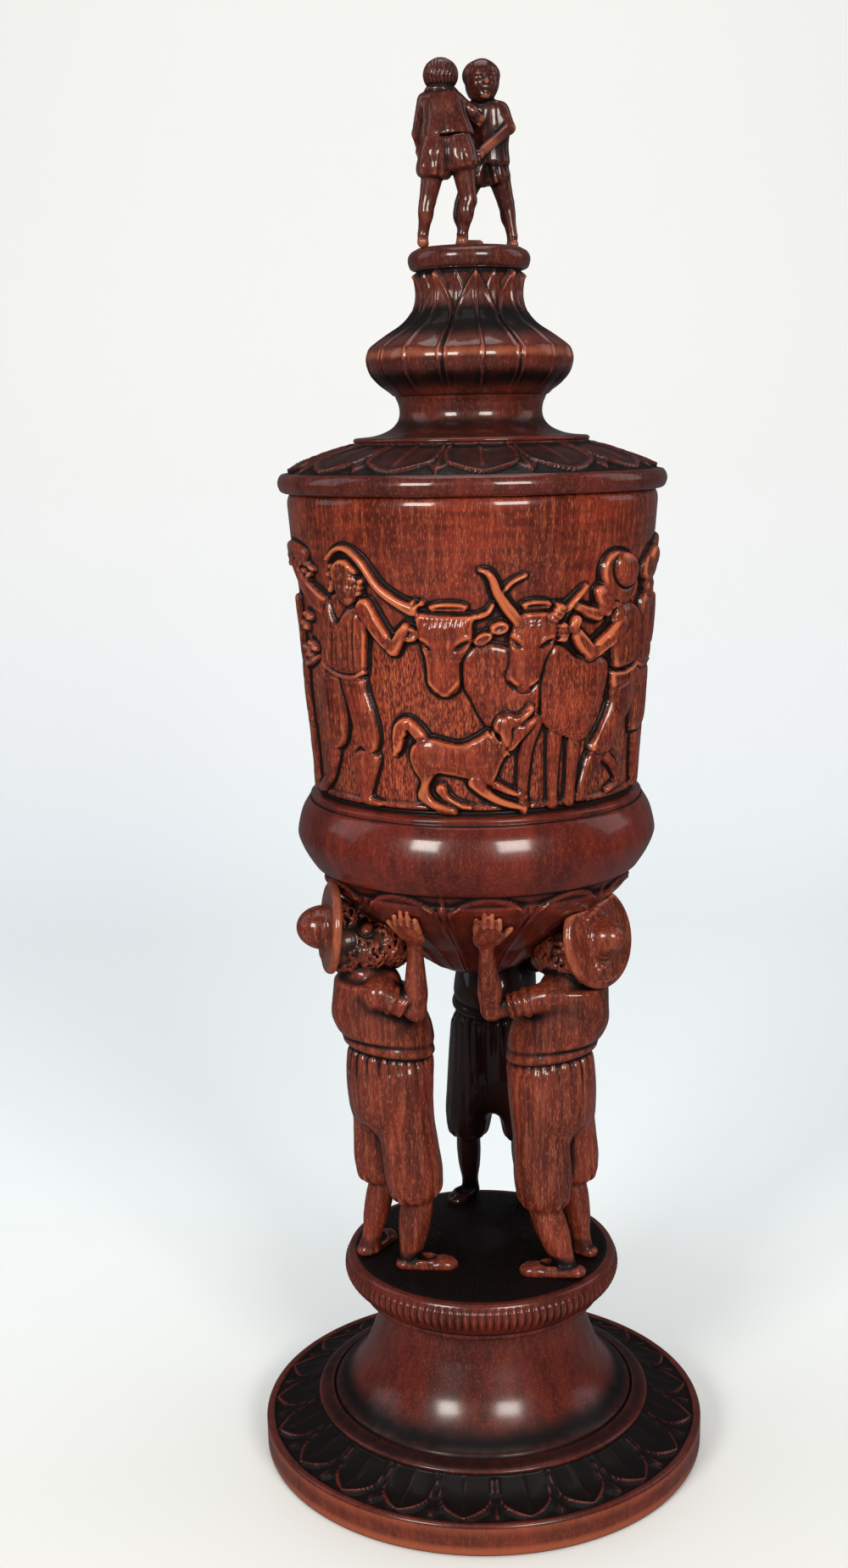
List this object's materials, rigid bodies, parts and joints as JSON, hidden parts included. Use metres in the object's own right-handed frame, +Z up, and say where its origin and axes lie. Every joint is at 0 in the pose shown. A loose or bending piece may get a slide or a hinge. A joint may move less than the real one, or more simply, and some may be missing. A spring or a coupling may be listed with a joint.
{
  "type": "lidded wooden chalice",
  "caption": "Carved standing cup of stained wood: herdsmen carry a bowl and a tapered relief cup on a turned foot, with a loose lid, ribbed knop and figure finial.",
  "frame": {"origin": "centre of the foot's underside", "axes": "+Z up along the turning axis, -Y towards the front of the carving"},
  "size_m": [0.139, 0.139, 0.4198],
  "materials": {
    "stained_wood": "turned wood, reddish brown stain under gloss varnish",
    "carved_wood": "carved wood, reddish brown stain, dark in the recesses, gloss varnish",
    "relief_wood": "turned and carved wood, warmer worn brown on the wall, gloss varnish",
    "peg_wood": "plain unstained dowel"
  },
  "bodies": {
    "root": {"foot": "stained_wood", "figure_pegs": "peg_wood", "herdsman_left": "carved_wood", "herdsman_right": "carved_wood", "herdsman_back": "carved_wood", "bowl": "stained_wood", "cup": "relief_wood", "lid_plate": "stained_wood", "knop": "stained_wood", "finial": "carved_wood"}
  },
  "joints": []
}
